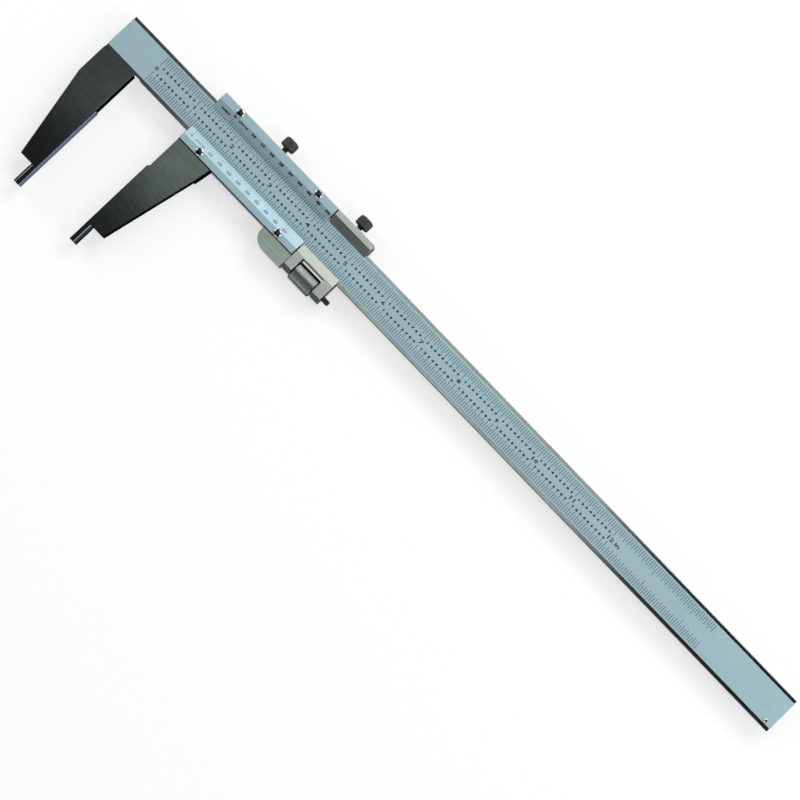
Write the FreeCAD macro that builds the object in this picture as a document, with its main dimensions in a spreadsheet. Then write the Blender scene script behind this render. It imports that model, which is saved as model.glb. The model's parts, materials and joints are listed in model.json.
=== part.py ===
# A 300 mm (12 in) vernier caliper with nib jaws and a fine-adjustment carriage, in millimetres.
# X runs along the beam away from the jaws, Y across it towards the clamp screws, and Z up
# from the surface that the slider's back lies on. Every piece is drawn with X = 0 on the
# fixed measuring face and Y = 0 on the beam's centre line. Each piece's Placement then moves
# it, so that the origin lies under the middle of the whole caliper.
import FreeCAD, Part
import os

import Sketcher

os.makedirs("parts", exist_ok=True)
doc = FreeCAD.newDocument("vernier_caliper")

# Driving dimensions. A "drop" is how far a place lies below the beam's lower edge.
sizes = {
    # beam
    "beam_length": 444.2,
    "beam_behind_face": 19.6,
    "beam_width": 20.0,
    "beam_body": 4.4,
    "ledge_width": 1.75,
    "land_height": 0.6,
    "beam_chamfer": 0.25,
    "notch_length": 3.4,
    "notch_depth": 0.5,
    "lap_short": 1.0,
    "stop_from_end": 4.0,
    "stop_from_edge": 3.3,
    "stop_head_radius": 1.2,
    "stop_head_height": 1.0,
    "stop_shank_radius": 0.8,
    "stop_shank_length": 3.0,
    # jaws: the opening is the distance between the measuring faces as stored
    "opening": 34.5,
    "jaw_thickness": 6.0,
    "tip_drop": 74.4,
    "fixed_relief": 0.5,
    "moving_relief": 1.0,
    "face_drop": 24.8,
    "nib_length": 11.4,
    "nib_width": 3.81,
    "nib_radius": 3.6,
    "undercut_depth": 0.4,
    "undercut_length": 1.3,
    "fixed_overhang": 0.3,
    "fixed_taper_drop": 16.5,
    "fixed_shoulder": 10.3,
    "moving_shoulder": 10.1,
    "root_width": 20.9,
    "root_drop": 14.6,
    "root_taper": 1.5,
    "root_step": 0.15,
    "tang_thickness": 2.2,
    "jaw_screw_edge": 5.0,
    "jaw_screw_spread": 11.0,
    "jaw_screw_head_radius": 2.0,
    "jaw_screw_head_height": 1.2,
    "jaw_screw_radius": 1.25,
    "jaw_screw_depth": 2.0,
    # slider
    "slider_length": 76.0,
    "slider_back": 4.2,
    "upper_wall": 4.65,
    "lower_wall": 5.3,
    "lug_length": 18.5,
    "lug_drop": 13.3,
    "lug_radius": 6.5,
    "lug_above_ledge": 0.3,
    # gaps of moving pieces, and of screws and pins in the holes that hold them
    "back_gap": 0.1,
    "edge_gap": 0.1,
    "plate_gap": 0.1,
    "turning_gap": 0.05,
    "seat_gap": 0.02,
    "passing_gap": 0.1,
    # gibs, the strips that take up the play on the beam's upper edge
    "gib_thickness": 0.7,
    "gib_height": 4.0,
    "gib_gap": 0.05,
    "gib_slack": 0.15,
    "gib_end_gap": 0.2,
    "slider_gib_start": 7.0,
    "slider_gib_slot": 62.0,
    "carriage_gib_start": 3.0,
    "carriage_gib_slot": 18.0,
    "gib_screw_first": 17.0,
    "gib_screw_spacing": 42.0,
    "gib_screw_radius": 1.5,
    "gib_screw_length": 4.5,
    # vernier plates: a flat outer part, then a bevel down to a thin edge beside the scale
    "plate_inset": 0.45,
    "plate_short": 0.2,
    "plate_thickness": 1.6,
    "plate_edge": 0.25,
    "upper_flat": 4.0,
    "upper_bevel": 4.95,
    "lower_flat": 3.1,
    "lower_bevel": 5.1,
    "lower_plate_inset": 0.5,
    "plate_screw_first": 11.8,
    "plate_screw_spacing": 52.6,
    "plate_screw_inset": 2.0,
    "plate_screw_head_radius": 2.1,
    "plate_screw_head_height": 1.0,
    "plate_screw_radius": 1.1,
    "plate_screw_depth": 3.5,
    "hole_depth_spare": 0.4,
    # clamp screws
    "clamp_head_radius": 3.85,
    "clamp_head_height": 5.2,
    "clamp_rounding": 1.3,
    "clamp_shank_radius": 1.4,
    "clamp_tip_gap": 0.05,
    "slider_clamp_from_left": 38.0,
    "slider_clamp_neck": 2.1,
    "carriage_clamp_from_left": 12.2,
    "carriage_clamp_neck": 1.5,
    # fine adjustment
    "carriage_gap": 0.5,
    "carriage_length": 23.9,
    "carriage_upper_wall": 4.8,
    "carriage_lip": 1.2,
    "carriage_flat": 3.0,
    "upper_lip_reach": 1.5,
    "lower_lip_reach": 2.3,
    "lip_edge": 0.4,
    "crease_drop": 2.0,
    "arm_drop": 12.3,
    "arm_chamfer": 2.0,
    "bar_corner_radius": 1.0,
    "window_start": 4.7,
    "window_length": 13.9,
    "window_drop": 2.6,
    "window_radius": 0.8,
    "feed_drop": 8.8,
    "feed_radius": 1.45,
    "feed_grip": 12.0,
    "feed_reach": 28.5,
    "feed_tip_chamfer": 0.4,
    "pin_radius": 0.75,
    "pin_from_end": 6.0,
    "pin_recess": 0.3,
    "pin_past_screw": 0.6,
    "nut_radius": 5.0,
    "nut_length": 13.2,
    "nut_chamfer": 0.5,
    "nut_above_rest": 0.5,
    # screwdriver slots
    "slot_width": 0.5,
    "slot_depth": 0.5,
    "cut_spare": 1.0,
}

# Places worked out from the driving dimensions. A name without a sheet is a place above it.
places = {
    # along the beam
    "beam_left": "-sizes.beam_behind_face",
    "beam_right": "beam_left + sizes.beam_length",
    "jaw_left": "beam_left - sizes.fixed_overhang",
    "lap_right": "-sizes.lap_short",
    "slider_left": "sizes.opening + sizes.moving_relief",
    "slider_right": "slider_left + sizes.slider_length",
    "root_right": "slider_left + sizes.root_width",
    "lug_left": "slider_right - sizes.lug_length",
    "carriage_left": "slider_right + sizes.carriage_gap",
    "carriage_right": "carriage_left + sizes.carriage_length",
    "window_left": "carriage_left + sizes.window_start",
    "window_right": "window_left + sizes.window_length",
    # across the beam
    "edge": "sizes.beam_width / 2",
    "gib_outside": "edge + sizes.gib_gap + sizes.gib_thickness",
    "gib_wall": "gib_outside + sizes.gib_slack",
    "slider_top": "gib_wall + sizes.upper_wall",
    "channel_low": "-edge - sizes.edge_gap",
    "channel_high": "edge + sizes.edge_gap",
    "slider_low": "channel_low - sizes.lower_wall",
    "inside_wall": "channel_low - sizes.lower_wall / 2",
    "carriage_top": "gib_wall + sizes.carriage_upper_wall",
    "tip": "-edge - sizes.tip_drop",
    "shoulder": "tip + sizes.nib_length",
    "face_end": "-edge - sizes.face_drop",
    "root_low": "-edge - sizes.root_drop",
    "lug_low": "-edge - sizes.lug_drop",
    "arm_low": "-edge - sizes.arm_drop",
    "window_high": "-edge - sizes.window_drop",
    "feed_line": "-edge - sizes.feed_drop",
    "undercut_end": "shoulder - sizes.undercut_length",
    "upper_screws": "slider_top - sizes.plate_screw_inset",
    "lower_plate_low": "slider_low + sizes.lower_plate_inset",
    "lower_screws": "lower_plate_low + sizes.plate_screw_inset",
    # heights
    "beam_back": "sizes.slider_back + sizes.back_gap",
    "ledge": "beam_back + sizes.beam_body",
    "land": "ledge + sizes.land_height",
    "jaw_back": "ledge - sizes.jaw_thickness",
    "jaw_middle": "ledge - sizes.jaw_thickness / 2",
    "tang_front": "beam_back + sizes.tang_thickness",
    "edge_middle": "beam_back + sizes.beam_body / 2",
    "plate_under": "land + sizes.plate_gap",
    "plate_top": "plate_under + sizes.plate_thickness",
    "lug_front": "ledge + sizes.lug_above_ledge",
    "carriage_front": "plate_under + sizes.carriage_lip",
    "feed_height": "sizes.nut_radius + sizes.nut_above_rest",
    # from the drawing origin to the middle of the whole caliper
    "middle_x": "-(jaw_left + beam_right) / 2",
    "middle_y": "-(slider_top + sizes.slider_clamp_neck + sizes.clamp_head_height + tip) / 2",
}


def fill(name, rows, sign):
    sheet = doc.addObject("Spreadsheet::Sheet", name)
    for row, (alias, value) in enumerate(rows.items(), 1):
        sheet.set(f"A{row}", alias)
        sheet.set(f"B{row}", f"{sign}{value}")
        sheet.setAlias(f"B{row}", alias)
    return sheet


sheet = fill("sizes", sizes, "")
fill("places", places, "=")
doc.recompute()


def value(expression):
    return float(sheet.evalExpression(expression))


def placed(piece, x, y, z):
    piece.setExpression("Placement.Base.x", f"places.middle_x + {x}")
    piece.setExpression("Placement.Base.y", f"places.middle_y + {y}")
    piece.setExpression("Placement.Base.z", z)


pieces = []


def new_body(name, x="0", y="0", z="0"):
    body = doc.addObject("PartDesign::Body", name)
    body.Label = name
    placed(body, x, y, z)
    pieces.append(body)
    return body


def new_sketch(body, plane, offset):
    # A sketch on one of the body's own origin planes, moved along the plane's normal:
    # +Z for XY_Plane, -Y for XZ_Plane and +X for YZ_Plane.
    sketch = body.newObject("Sketcher::SketchObject", "outline")
    support = next(f for f in body.Origin.OriginFeatures if f.Role == plane)
    sketch.AttachmentSupport = [(support, "")]
    sketch.MapMode = "FlatFace"
    sketch.setExpression("AttachmentOffset.Base.z", offset)
    return sketch


def hold(sketch, kind, where, size):
    index = sketch.addConstraint(Sketcher.Constraint(kind, *where, value(size)))
    sketch.setExpression(f"Constraints[{index}]", size)


def hold_point(sketch, line, end, point):
    hold(sketch, "DistanceX", (-1, 1, line, end), point[0])
    hold(sketch, "DistanceY", (-1, 1, line, end), point[1])


def polygon(sketch, corners):
    first = sketch.GeometryCount
    points = [FreeCAD.Vector(value(x), value(y), 0) for x, y in corners]
    ends = points[1:] + points[:1]
    sketch.addGeometry([Part.LineSegment(a, b) for a, b in zip(points, ends)], False)
    for i, corner in enumerate(corners):
        following = first + (i + 1) % len(corners)
        sketch.addConstraint(Sketcher.Constraint("Coincident", first + i, 2, following, 1))
        hold_point(sketch, first + i, 1, corner)


def rectangle(sketch, low_x, low_y, high_x, high_y):
    polygon(sketch, [(low_x, low_y), (high_x, low_y), (high_x, high_y), (low_x, high_y)])


def circle(sketch, x, y, radius):
    centre = FreeCAD.Vector(value(x), value(y), 0)
    shape = Part.Circle(centre, FreeCAD.Vector(0, 0, 1), value(radius))
    index = sketch.addGeometry(shape, False)
    hold_point(sketch, index, 3, (x, y))
    hold(sketch, "Radius", (index,), radius)


def extruded(body, kind, sketch, length, reverse):
    feature = body.newObject(f"PartDesign::{kind}", kind.lower())
    feature.Profile = sketch
    feature.setExpression("Length", length)
    feature.Reversed = reverse
    return feature


def add(body, sketch, length):
    # material along the sketch's normal
    return extruded(body, "Pad", sketch, length, False)


def cut(body, sketch, length, forward=False):
    # a cut against the sketch's normal, or along it when forward
    return extruded(body, "Pocket", sketch, length, forward)


def drill(body, plane, offset, x, y, radius, depth, forward=False):
    hole = new_sketch(body, plane, offset)
    circle(hole, x, y, radius)
    return cut(body, hole, depth, forward)


def soften(body, kind, size, points):
    # rounds ("Fillet", radius) or bevels ("Chamfer", width) the edges through these points
    doc.recompute()
    base = body.Tip
    names = []
    for point in points:
        spot = Part.Vertex(*[value(p) for p in point])
        near = [
            f"Edge{i}"
            for i, edge in enumerate(base.Shape.Edges, 1)
            if edge.distToShape(spot)[0] < 0.001
        ]
        if len(near) != 1:
            raise ValueError(f"{body.Label}: {len(near)} edges pass through {point}")
        names += near
    feature = body.newObject(f"PartDesign::{kind}", kind.lower())
    feature.Base = (base, names)
    feature.setExpression("Radius" if kind == "Fillet" else "Size", size)
    return feature


def turned(name, profile, x, y, z, axis="Z"):
    # a piece turned on a lathe: the profile's corners are (radius, height along the axis)
    body = new_body(name, x, y, z)
    turns = {"X": ((0, 1, 0), 90), "Y": ((1, 0, 0), -90), "Z": ((0, 0, 1), 0)}
    direction, angle = turns[axis]
    body.Placement.Rotation = FreeCAD.Rotation(FreeCAD.Vector(*direction), angle)
    sketch = new_sketch(body, "XZ_Plane", "0")
    polygon(sketch, profile)
    turning = body.newObject("PartDesign::Revolution", "turning")
    turning.Profile = sketch
    turning.ReferenceAxis = (sketch, ["V_Axis"])
    turning.Angle = 360
    return body


def headed_screw(name, shank, depth, head, height, x, y, z, axis="Z"):
    # the head's underside is at height 0 of the piece
    profile = [
        ("0", f"-{depth}"),
        (shank, f"-{depth}"),
        (shank, "0"),
        (head, "0"),
        (head, height),
        ("0", height),
    ]
    return turned(name, profile, x, y, z, axis)


def driver_slot(body, height, radius):
    # a straight slot across the end of a screw, along the body's own X
    slot = new_sketch(body, "XY_Plane", height)
    half = "sizes.slot_width / 2"
    rectangle(slot, f"-{radius} - sizes.cut_spare", f"-{half}", f"{radius} + sizes.cut_spare", half)
    return cut(body, slot, "sizes.slot_depth")


def round_nib(body, face, side):
    # The side of a nib away from its measuring face is part of a cylinder along the nib.
    # side is -1 for a nib on the left of its face and 1 for one on the right.
    middle = f"({face} + {side} * (sizes.nib_width - sizes.nib_radius))"
    far = f"({face} + {side} * (sizes.nib_width + sizes.cut_spare))"
    low = "(places.jaw_middle - sizes.nib_radius - sizes.cut_spare)"
    high = "(places.jaw_middle + sizes.nib_radius + sizes.cut_spare)"
    arc_low = "(places.jaw_middle - sizes.nib_radius)"
    arc_high = "(places.jaw_middle + sizes.nib_radius)"
    sketch = new_sketch(body, "XZ_Plane", "-places.tip")
    corners = [
        (middle, arc_high), (middle, high), (far, high),
        (far, low), (middle, low), (middle, arc_low),
    ]
    points = [FreeCAD.Vector(value(x), value(y), 0) for x, y in corners]
    sketch.addGeometry([Part.LineSegment(a, b) for a, b in zip(points, points[1:])], False)
    bulge = FreeCAD.Vector(value(f"{face} + {side} * sizes.nib_width"), value("places.jaw_middle"), 0)
    arc = sketch.addGeometry(Part.Arc(points[-1], bulge, points[0]), False)
    for i, corner in enumerate(corners[:-1]):
        hold_point(sketch, i, 1, corner)
        if i:
            sketch.addConstraint(Sketcher.Constraint("Coincident", i - 1, 2, i, 1))
    last = len(corners) - 2
    hold_point(sketch, last, 2, corners[-1])
    # an arc runs anticlockwise, so on the right its start is the lower end
    start, end = (last, 2), (0, 1)
    if side < 0:
        start, end = end, start
    sketch.addConstraint(Sketcher.Constraint("Coincident", arc, 1, *start))
    sketch.addConstraint(Sketcher.Constraint("Coincident", arc, 2, *end))
    hold(sketch, "DistanceX", (-1, 1, arc, 3), middle)
    return cut(body, sketch, "sizes.nib_length")


# Beam: a ground bar with a raised, plated land that carries the scale
beam = new_body("main_beam")
section = new_sketch(beam, "YZ_Plane", "places.beam_left")
bevel = "sizes.beam_chamfer"
half_land = "(places.edge - sizes.ledge_width)"
polygon(
    section,
    [
        (f"-places.edge + {bevel}", "places.beam_back"),
        (f"places.edge - {bevel}", "places.beam_back"),
        ("places.edge", f"places.beam_back + {bevel}"),
        ("places.edge", f"places.ledge - {bevel}"),
        (f"places.edge - {bevel}", "places.ledge"),
        (half_land, "places.ledge"),
        (half_land, "places.land"),
        (f"-{half_land}", "places.land"),
        (f"-{half_land}", "places.ledge"),
        (f"-places.edge + {bevel}", "places.ledge"),
        ("-places.edge", f"places.ledge - {bevel}"),
        ("-places.edge", f"places.beam_back + {bevel}"),
    ],
)
add(beam, section, "sizes.beam_length")

# The back of the beam's end is cut away for the fixed jaw's tang.
lap = new_sketch(beam, "XY_Plane", "places.beam_back")
rectangle(
    lap,
    "places.beam_left - sizes.cut_spare",
    "-places.edge - sizes.cut_spare",
    "places.lap_right",
    "places.edge + sizes.cut_spare",
)
cut(beam, lap, "sizes.tang_thickness", forward=True)

notch = new_sketch(beam, "XY_Plane", "places.land")
rectangle(
    notch,
    "places.lap_right",
    "-places.edge - sizes.cut_spare",
    "sizes.notch_length",
    "-places.edge + sizes.notch_depth",
)
cut(beam, notch, "places.land")

stop_x = "(places.beam_right - sizes.stop_from_end)"
stop_y = "(-places.edge + sizes.stop_from_edge)"
stop_hole = "sizes.stop_shank_radius + sizes.seat_gap"
drill(beam, "XY_Plane", "places.land", stop_x, stop_y, stop_hole, "sizes.stop_shank_length")

# Fixed jaw: a blade below the beam and a tang lapped behind the beam's end
jaw = new_body("fixed_jaw")
blade = new_sketch(jaw, "XY_Plane", "places.jaw_back")
polygon(
    blade,
    [
        ("places.jaw_left", "-places.edge"),
        ("places.jaw_left", "-places.edge - sizes.fixed_taper_drop"),
        ("-sizes.fixed_shoulder", "places.shoulder"),
        ("-sizes.nib_width + sizes.undercut_depth", "places.shoulder"),
        ("-sizes.nib_width + sizes.undercut_depth", "places.undercut_end"),
        ("-sizes.nib_width", "places.undercut_end"),
        ("-sizes.nib_width", "places.tip"),
        ("0", "places.tip"),
        ("0", "places.face_end"),
        ("-sizes.fixed_relief", "places.face_end + sizes.fixed_relief"),
        ("-sizes.fixed_relief", "-places.edge"),
    ],
)
add(jaw, blade, "sizes.jaw_thickness")
tang = new_sketch(jaw, "XY_Plane", "places.beam_back")
rectangle(tang, "places.jaw_left", "-places.edge", "places.lap_right", "places.edge")
add(jaw, tang, "sizes.tang_thickness")
round_nib(jaw, "0", -1)

# Three screws from behind hold the tang: two near the beam's end and one between them.
screw_far = "(places.beam_left + sizes.jaw_screw_edge)"
screw_near = "(places.lap_right - sizes.jaw_screw_edge)"
jaw_screws = [
    (screw_far, "sizes.jaw_screw_spread / 2"),
    (screw_far, "-sizes.jaw_screw_spread / 2"),
    (screw_near, "0"),
]
for number, (x, y) in enumerate(jaw_screws, 1):
    head = "sizes.jaw_screw_head_height"
    head_hole = "sizes.jaw_screw_head_radius + sizes.seat_gap"
    hole = "sizes.jaw_screw_radius + sizes.seat_gap"
    drill(jaw, "XY_Plane", "places.beam_back", x, y, head_hole, head, True)
    drill(jaw, "XY_Plane", "places.beam_back", x, y, hole, "sizes.tang_thickness", True)
    drill(beam, "XY_Plane", "places.tang_front", x, y, hole, "sizes.jaw_screw_depth", True)
    profile = [
        ("0", "0"),
        ("sizes.jaw_screw_head_radius", "0"),
        ("sizes.jaw_screw_head_radius", head),
        ("sizes.jaw_screw_radius", head),
        ("sizes.jaw_screw_radius", "sizes.tang_thickness + sizes.jaw_screw_depth"),
        ("0", "sizes.tang_thickness + sizes.jaw_screw_depth"),
    ]
    screw = turned(f"jaw_screw_{number}", profile, x, y, "places.beam_back")
    slot = new_sketch(screw, "XY_Plane", "0")
    reach = "sizes.jaw_screw_head_radius + sizes.cut_spare"
    half = "sizes.slot_width / 2"
    rectangle(slot, f"-({reach})", f"-{half}", reach, half)
    cut(screw, slot, "sizes.slot_depth", forward=True)

stop = headed_screw(
    "end_stop_screw", "sizes.stop_shank_radius", "sizes.stop_shank_length",
    "sizes.stop_head_radius", "sizes.stop_head_height", stop_x, stop_y, "places.land",
)
soften(
    stop, "Fillet", "sizes.stop_head_height * 0.9",
    [("0", "sizes.stop_head_radius", "sizes.stop_head_height")],
)

# Slider: a channel behind the beam, in one piece with the moving jaw and the feed lug
slider = new_body("slider_frame")
channel = new_sketch(slider, "YZ_Plane", "places.slider_left")
polygon(
    channel,
    [
        ("places.slider_low", "0"),
        ("places.slider_top", "0"),
        ("places.slider_top", "places.plate_under"),
        ("places.channel_high", "places.plate_under"),
        ("places.channel_high", "sizes.slider_back"),
        ("places.channel_low", "sizes.slider_back"),
        ("places.channel_low", "places.plate_under"),
        ("places.slider_low", "places.plate_under"),
    ],
)
add(slider, channel, "sizes.slider_length")

root_low_right = "(places.root_right - sizes.root_taper)"
root = new_sketch(slider, "XY_Plane", "0")
polygon(
    root,
    [
        ("places.slider_left", "places.inside_wall"),
        ("places.slider_left", "places.root_low"),
        (root_low_right, "places.root_low"),
        ("places.root_right", "places.slider_low"),
        ("places.root_right", "places.inside_wall"),
    ],
)
add(slider, root, "places.ledge")

blade = new_sketch(slider, "XY_Plane", "places.jaw_back")
nib_out = "sizes.opening + sizes.nib_width"
polygon(
    blade,
    [
        ("places.slider_left", "places.inside_wall"),
        ("places.slider_left", "places.face_end + sizes.moving_relief"),
        ("sizes.opening", "places.face_end"),
        ("sizes.opening", "places.tip"),
        (nib_out, "places.tip"),
        (nib_out, "places.undercut_end"),
        (f"{nib_out} - sizes.undercut_depth", "places.undercut_end"),
        (f"{nib_out} - sizes.undercut_depth", "places.shoulder"),
        ("sizes.opening + sizes.moving_shoulder", "places.shoulder"),
        (f"{root_low_right} - sizes.root_step", "places.root_low"),
        (f"{root_low_right} - sizes.root_step", "places.inside_wall"),
    ],
)
add(slider, blade, "sizes.jaw_thickness")
round_nib(slider, "sizes.opening", 1)

lug = new_sketch(slider, "XY_Plane", "0")
rectangle(lug, "places.lug_left", "places.lug_low", "places.slider_right", "places.inside_wall")
add(slider, lug, "places.lug_front")
soften(
    slider, "Fillet", "sizes.lug_radius",
    [("places.lug_left", "places.lug_low", "places.lug_front / 2")],
)


def gib_slot(body, left, length):
    # a recess in the inner face of the upper wall
    slot = new_sketch(body, "XY_Plane", "places.plate_under")
    rectangle(
        slot, left, "places.channel_high - sizes.edge_gap", f"{left} + {length}",
        "places.gib_wall",
    )
    return cut(body, slot, "places.plate_under - sizes.slider_back")


def gib(name, left, length):
    strip = doc.addObject("Part::Box", name)
    strip.Label = name
    strip.setExpression("Length", f"{length} - 2 * sizes.gib_end_gap")
    strip.setExpression("Width", "sizes.gib_thickness")
    strip.setExpression("Height", "sizes.gib_height")
    placed(
        strip, f"{left} + sizes.gib_end_gap", "places.edge + sizes.gib_gap",
        "places.edge_middle - sizes.gib_height / 2",
    )
    pieces.append(strip)


slider_gib_left = "places.slider_left + sizes.slider_gib_start"
gib_slot(slider, slider_gib_left, "sizes.slider_gib_slot")
gib("slider_gib", slider_gib_left, "sizes.slider_gib_slot")

for number in (1, 2):
    x = f"(places.slider_left + sizes.gib_screw_first + {number - 1} * sizes.gib_screw_spacing)"
    drill(
        slider, "XZ_Plane", "-places.slider_top", x, "places.edge_middle",
        "sizes.gib_screw_radius + sizes.seat_gap", "sizes.upper_wall", True,
    )
    profile = [
        ("0", "0"),
        ("sizes.gib_screw_radius", "0"),
        ("sizes.gib_screw_radius", "sizes.gib_screw_length"),
        ("0", "sizes.gib_screw_length"),
    ]
    screw = turned(f"gib_screw_{number}", profile, x, "places.gib_outside", "places.edge_middle", "Y")
    driver_slot(screw, "sizes.gib_screw_length", "sizes.gib_screw_radius")


def clamp_screw(name, x, top, neck):
    # a knurled head on a shank that reaches through the upper wall to the gib
    tip = "(places.gib_outside + sizes.clamp_tip_gap)"
    under = f"({top} + {neck} - {tip})"
    head = f"({under} + sizes.clamp_head_height)"
    profile = [
        ("0", "0"),
        ("sizes.clamp_shank_radius", "0"),
        ("sizes.clamp_shank_radius", under),
        ("sizes.clamp_head_radius", under),
        ("sizes.clamp_head_radius", head),
        ("0", head),
    ]
    screw = turned(name, profile, x, tip, "places.edge_middle", "Y")
    rims = [("0", "sizes.clamp_head_radius", under), ("0", "sizes.clamp_head_radius", head)]
    soften(screw, "Fillet", "sizes.clamp_rounding", rims)


def clamp_hole(body, x, top, wall):
    radius = "sizes.clamp_shank_radius + sizes.turning_gap"
    drill(body, "XZ_Plane", f"-{top}", x, "places.edge_middle", radius, wall, True)


slider_clamp_x = "(places.slider_left + sizes.slider_clamp_from_left)"
clamp_hole(slider, slider_clamp_x, "places.slider_top", "sizes.upper_wall")
clamp_screw("slider_clamp_screw", slider_clamp_x, "places.slider_top", "sizes.slider_clamp_neck")


def vernier_plate(name, outside, flat, slope, side):
    # side is 1 for the upper plate and -1 for the lower one
    plate = new_body(name)
    section = new_sketch(plate, "YZ_Plane", "places.slider_left + sizes.plate_inset")
    inside = f"({outside} - {side} * ({flat} + {slope}))"
    polygon(
        section,
        [
            (outside, "places.plate_under"),
            (outside, "places.plate_top"),
            (f"{outside} - {side} * {flat}", "places.plate_top"),
            (inside, "places.plate_under + sizes.plate_edge"),
            (inside, "places.plate_under"),
        ],
    )
    add(plate, section, "sizes.slider_length - sizes.plate_inset - sizes.plate_short")
    return plate


upper = vernier_plate(
    "upper_vernier_plate", "places.slider_top", "sizes.upper_flat", "sizes.upper_bevel", 1,
)
lower = vernier_plate(
    "lower_vernier_plate", "places.lower_plate_low", "sizes.lower_flat", "sizes.lower_bevel", -1,
)
rows = (("upper", upper, "places.upper_screws"), ("lower", lower, "places.lower_screws"))
for level, plate, y in rows:
    for number in (1, 2):
        x = f"(places.slider_left + sizes.plate_screw_first + {number - 1} * sizes.plate_screw_spacing)"
        depth = "sizes.plate_screw_depth + sizes.hole_depth_spare"
        hole = "sizes.plate_screw_radius + sizes.seat_gap"
        drill(plate, "XY_Plane", "places.plate_top", x, y, hole, "sizes.plate_thickness")
        drill(slider, "XY_Plane", "places.plate_under", x, y, hole, depth)
        screw = headed_screw(
            f"{level}_plate_screw_{number}", "sizes.plate_screw_radius",
            "(sizes.plate_thickness + sizes.plate_screw_depth)", "sizes.plate_screw_head_radius",
            "sizes.plate_screw_head_height", x, y, "places.plate_top",
        )
        soften(
            screw, "Fillet", "sizes.plate_screw_head_height * 0.9",
            [("0", "sizes.plate_screw_head_radius", "sizes.plate_screw_head_height")],
        )
        driver_slot(screw, "sizes.plate_screw_head_height", "sizes.plate_screw_head_radius")

# Feed screw: pinned into the slider's lug, it passes through the carriage's two legs.
drill(
    slider, "YZ_Plane", "places.slider_right", "places.feed_line", "places.feed_height",
    "sizes.feed_radius + sizes.seat_gap", "sizes.feed_grip",
)
pin_x = "(places.slider_right - sizes.pin_from_end)"
pin_end = "(places.feed_height + sizes.feed_radius + sizes.pin_past_screw)"
pin_length = f"({pin_end} - sizes.pin_recess)"
pin_hole = "sizes.pin_radius + sizes.seat_gap"
drill(slider, "XY_Plane", "0", pin_x, "places.feed_line", pin_hole, f"{pin_end} + sizes.seat_gap", True)

feed_length = "(sizes.feed_grip + sizes.feed_reach)"
feed_screw = turned(
    "feed_screw",
    [
        ("0", "0"),
        ("sizes.feed_radius", "0"),
        ("sizes.feed_radius", f"{feed_length} - sizes.feed_tip_chamfer"),
        ("sizes.feed_radius - sizes.feed_tip_chamfer", feed_length),
        ("0", feed_length),
    ],
    "places.slider_right - sizes.feed_grip", "places.feed_line", "places.feed_height", "X",
)
# The body's Z is the screw's axis and its X points down, so the pin hole is drilled along X.
drill(
    feed_screw, "YZ_Plane", "sizes.feed_radius", "0", "sizes.feed_grip - sizes.pin_from_end",
    pin_hole, "2 * sizes.feed_radius",
)
turned(
    "feed_screw_pin",
    [
        ("0", "0"),
        ("sizes.pin_radius", "0"),
        ("sizes.pin_radius", pin_length),
        ("0", pin_length),
    ],
    pin_x, "places.feed_line", "sizes.pin_recess",
)

# Carriage: wraps the beam, with lips over its front edges and two legs around the feed nut
carriage = new_body("carriage_frame")
wrap = new_sketch(carriage, "YZ_Plane", "places.carriage_left")
upper_lip = "(places.edge - sizes.upper_lip_reach)"
lower_lip = "(-places.edge + sizes.lower_lip_reach)"
polygon(
    wrap,
    [
        ("places.arm_low", "0"),
        ("places.carriage_top", "0"),
        ("places.carriage_top", "places.carriage_front"),
        ("places.carriage_top - sizes.carriage_flat", "places.carriage_front"),
        (upper_lip, "places.plate_under + sizes.lip_edge"),
        (upper_lip, "places.plate_under"),
        ("places.channel_high", "places.plate_under"),
        ("places.channel_high", "sizes.slider_back"),
        ("places.channel_low", "sizes.slider_back"),
        ("places.channel_low", "places.plate_under"),
        (lower_lip, "places.plate_under"),
        (lower_lip, "places.plate_under + sizes.lip_edge"),
        ("-places.edge - sizes.crease_drop", "places.carriage_front"),
        ("places.arm_low + sizes.arm_chamfer", "places.carriage_front"),
        ("places.arm_low", "places.carriage_front - sizes.arm_chamfer"),
    ],
)
add(carriage, wrap, "sizes.carriage_length")
window = new_sketch(carriage, "XY_Plane", "places.carriage_front")
rectangle(
    window, "places.window_left", "places.arm_low - sizes.cut_spare", "places.window_right",
    "places.window_high",
)
cut(carriage, window, "places.carriage_front")
half_height = "places.carriage_front / 2"
soften(
    carriage, "Fillet", "sizes.window_radius",
    [("places.window_right", "places.window_high", half_height)],
)
soften(
    carriage, "Fillet", "sizes.bar_corner_radius",
    [("places.carriage_right", "places.carriage_top", half_height)],
)
drill(
    carriage, "YZ_Plane", "places.carriage_right", "places.feed_line", "places.feed_height",
    "sizes.feed_radius + sizes.passing_gap", "sizes.carriage_length",
)
carriage_gib_left = "places.carriage_left + sizes.carriage_gib_start"
gib_slot(carriage, carriage_gib_left, "sizes.carriage_gib_slot")
gib("carriage_gib", carriage_gib_left, "sizes.carriage_gib_slot")
carriage_clamp_x = "(places.carriage_left + sizes.carriage_clamp_from_left)"
clamp_hole(carriage, carriage_clamp_x, "places.carriage_top", "sizes.carriage_upper_wall")
clamp_screw("carriage_clamp_screw", carriage_clamp_x, "places.carriage_top", "sizes.carriage_clamp_neck")

# Feed nut: it turns on the feed screw in the carriage's window and takes the carriage along.
nut_bore = "sizes.feed_radius + sizes.turning_gap"
turned(
    "feed_nut",
    [
        (nut_bore, "0"),
        ("sizes.nut_radius - sizes.nut_chamfer", "0"),
        ("sizes.nut_radius", "sizes.nut_chamfer"),
        ("sizes.nut_radius", "sizes.nut_length - sizes.nut_chamfer"),
        ("sizes.nut_radius - sizes.nut_chamfer", "sizes.nut_length"),
        (nut_bore, "sizes.nut_length"),
    ],
    "places.window_left + (sizes.window_length - sizes.nut_length) / 2",
    "places.feed_line", "places.feed_height", "X",
)

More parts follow.
